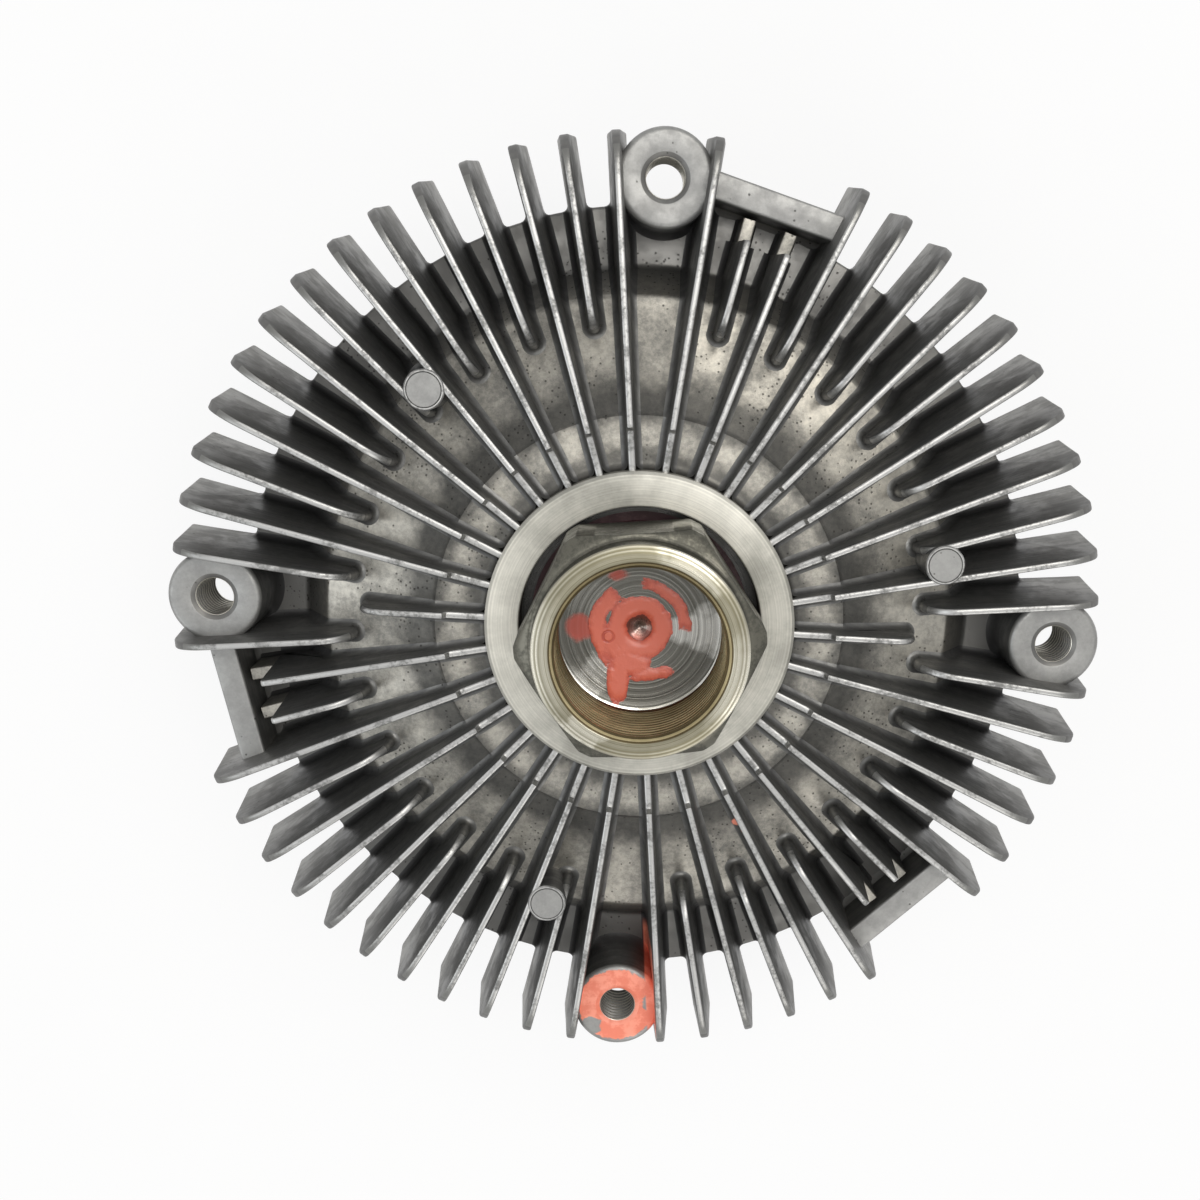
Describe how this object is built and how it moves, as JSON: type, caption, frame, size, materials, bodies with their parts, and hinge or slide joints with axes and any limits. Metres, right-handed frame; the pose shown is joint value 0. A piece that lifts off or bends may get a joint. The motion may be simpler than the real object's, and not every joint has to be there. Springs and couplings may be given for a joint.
{
  "type": "viscous fan clutch",
  "caption": "Viscous fan clutch with a finned cast housing, threaded fan lugs, a hexagon hub nut on a ball bearing, and a slotted rotor, valve and bimetal coil inside",
  "frame": {"origin": "on the shaft's axis in the plane of the fan lugs' machined faces", "axes": "Z along the shaft with the hub nut up, X and Y through the fan lugs"},
  "size_m": [0.1686, 0.1686, 0.07],
  "materials": {
    "cast_aluminium": "die cast, dull and darkened between the fins",
    "turned_aluminium": "turned",
    "plated_steel": "turned steel with a thin yellow plating",
    "bearing_steel": "ground",
    "spring_steel": "blued spring strip",
    "sheet_steel": "pressed sheet, zinc plated",
    "bimetal": "rolled bimetal strip",
    "brass": "plain",
    "maroon_rubber": "moulded, matt",
    "black_rubber": "moulded, matt"
  },
  "bodies": {
    "housing": {"rear_housing": "cast_aluminium", "front_cover": "cast_aluminium", "cover_seal": "black_rubber", "bearing_outer_ring": "bearing_steel", "rear_seal": "maroon_rubber", "front_seal": "maroon_rubber", "snap_ring": "spring_steel", "separator_plate": "sheet_steel", "separator_rivets": "sheet_steel", "valve_bush": "brass", "valve_seal": "black_rubber", "bimetal_coil": "bimetal", "coil_bracket": "sheet_steel", "bracket_rivet": "sheet_steel"},
    "hub": {"hub_shaft": "plated_steel", "bearing_inner_ring": "bearing_steel", "rotor": "turned_aluminium"},
    "cage": {"bearing_cage": "brass", "bearing_balls": "bearing_steel"},
    "valve": {"valve_shaft": "bearing_steel", "valve_arm": "spring_steel"}
  },
  "joints": [
    {"name": "hub_spin", "type": "hinge", "parent": "housing", "child": "hub", "pos_m": [0, 0, 0], "axis": [0, 0, 1], "continuous": true},
    {"name": "cage_spin", "type": "hinge", "parent": "housing", "child": "cage", "pos_m": [0, 0, 0], "axis": [0, 0, 1], "continuous": true},
    {"name": "valve_turn", "type": "hinge", "parent": "housing", "child": "valve", "pos_m": [0, 0, 0], "axis": [0, 0, 1], "range_deg": [0, 45], "stiffness_Nm_per_rad": 0.02, "deforming": ["bimetal_coil"]}
  ],
  "couplings": [
    {"joint": "cage_spin", "follows": "hub_spin", "ratio": 0.3815}
  ]
}
